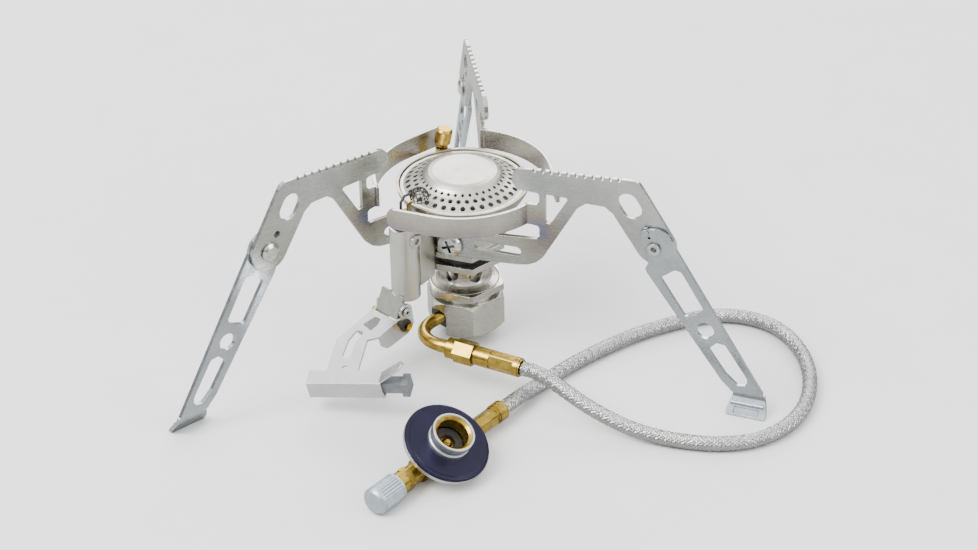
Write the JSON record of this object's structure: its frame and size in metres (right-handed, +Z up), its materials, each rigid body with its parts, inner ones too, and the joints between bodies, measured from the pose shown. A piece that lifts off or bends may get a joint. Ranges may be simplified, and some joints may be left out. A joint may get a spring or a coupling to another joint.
{
  "type": "remote-canister camping stove",
  "caption": "Low folding gas camping stove: hexagonal burner column, folding serrated legs, swing-out piezo igniter and a braided hose to a canister adapter with a tap.",
  "frame": {"origin": "ground point under the middle of the stove's own box, measured without the hose and what is on it", "axes": "+Z up; -Y towards the side the hose and its adapter come out on; +X to the right seen from there"},
  "size_m": [0.229, 0.2315, 0.0844],
  "materials": {
    "nickel": "satin nickel-plated steel",
    "tube_steel": "drawn steel, slightly heat-stained",
    "burner_steel": "matt stainless steel, warm stained",
    "leg_steel": "fine brushed stainless sheet",
    "arm_steel": "bright polished sheet",
    "brass": "turned brass, slightly dull",
    "dark_wire": "dark oxidised wire",
    "braid": "braided stainless wire",
    "plain_aluminium": "turned, light satin",
    "blue_aluminium": "dark blue anodised, satin",
    "knob_aluminium": "pale blue-grey anodised, satin",
    "black_rubber": "matt black",
    "black_plastic": "matt black moulded",
    "grey_plastic": "dark grey moulded",
    "glazed_ceramic": "off-white glazed"
  },
  "bodies": {
    "stove": {"base_cup": "nickel", "hex_flange": "nickel", "mixing_tube": "tube_steel", "lower_plate": "nickel", "spacer_ring": "black_rubber", "upper_plate": "nickel", "hub": "tube_steel", "burner_bowl": "burner_steel", "burner_cap": "burner_steel", "jet": "brass", "grommet": "black_rubber", "preheat_tube": "brass", "preheat_cap": "brass", "igniter_sleeve": "nickel", "igniter_bracket": "nickel", "sleeve_eyelet": "nickel", "ceramic": "glazed_ceramic", "electrode": "brass", "spark_cup": "dark_wire", "cup_clip": "dark_wire", "hinge_bracket": "arm_steel", "hinge_pin": "brass", "elbow": "brass", "union_nut": "brass", "hose_ferrule": "brass", "hose": "braid", "adapter_ferrule": "brass", "valve_body": "brass", "lower_disc": "plain_aluminium", "blue_disc": "blue_aluminium", "thread_collar": "plain_aluminium", "thread_insert": "brass", "adapter_seal": "black_rubber", "valve_pin": "brass", "leg_plate_1": "leg_steel", "leg_screw_1": "nickel", "leg_rivet_1": "nickel", "leg_plate_2": "leg_steel", "leg_screw_2": "nickel", "leg_rivet_2": "nickel", "leg_plate_3": "leg_steel", "leg_screw_3": "nickel", "leg_rivet_3": "nickel"},
    "folding_leg_1": {"lower_leg_1": "leg_steel"},
    "folding_leg_2": {"lower_leg_2": "leg_steel"},
    "folding_leg_3": {"lower_leg_3": "leg_steel"},
    "igniter_arm_unit": {"igniter_arm": "arm_steel", "piezo_body": "black_plastic", "contact_insulator": "black_plastic", "contact_stud": "brass"},
    "button": {"push_button": "grey_plastic"},
    "knob": {"control_knob": "knob_aluminium", "valve_spindle": "brass"}
  },
  "joints": [
    {"name": "leg_fold_1", "type": "hinge", "parent": "stove", "child": "folding_leg_1", "pos_m": [0.06528, -0.06884, 0.06], "axis": [-0.3567, -0.9342, 0], "range_deg": [0, 180]},
    {"name": "leg_fold_2", "type": "hinge", "parent": "stove", "child": "folding_leg_2", "pos_m": [0.00183, 0.04877, 0.06], "axis": [0.9874, 0.1582, 0], "range_deg": [0, 180]},
    {"name": "leg_fold_3", "type": "hinge", "parent": "stove", "child": "folding_leg_3", "pos_m": [-0.06831, -0.06498, 0.06], "axis": [-0.6307, 0.776, 0], "range_deg": [0, 180]},
    {"name": "igniter_fold", "type": "hinge", "parent": "stove", "child": "igniter_arm_unit", "pos_m": [-0.02575, -0.0491, 0.0251], "axis": [-0.7071, 0.7071, 0], "range_deg": [-50, 60]},
    {"name": "button_press", "type": "slide", "parent": "igniter_arm_unit", "child": "button", "axis": [-0.9655, 0.2259, -0.1294], "range_m": [0, 0.0035], "stiffness_N_per_m": 1000},
    {"name": "knob_turn", "type": "hinge", "parent": "stove", "child": "knob", "pos_m": [-0.0279, -0.1329, 0.005], "axis": [-0.6428, -0.766, 0], "range_deg": [0, 720]}
  ]
}
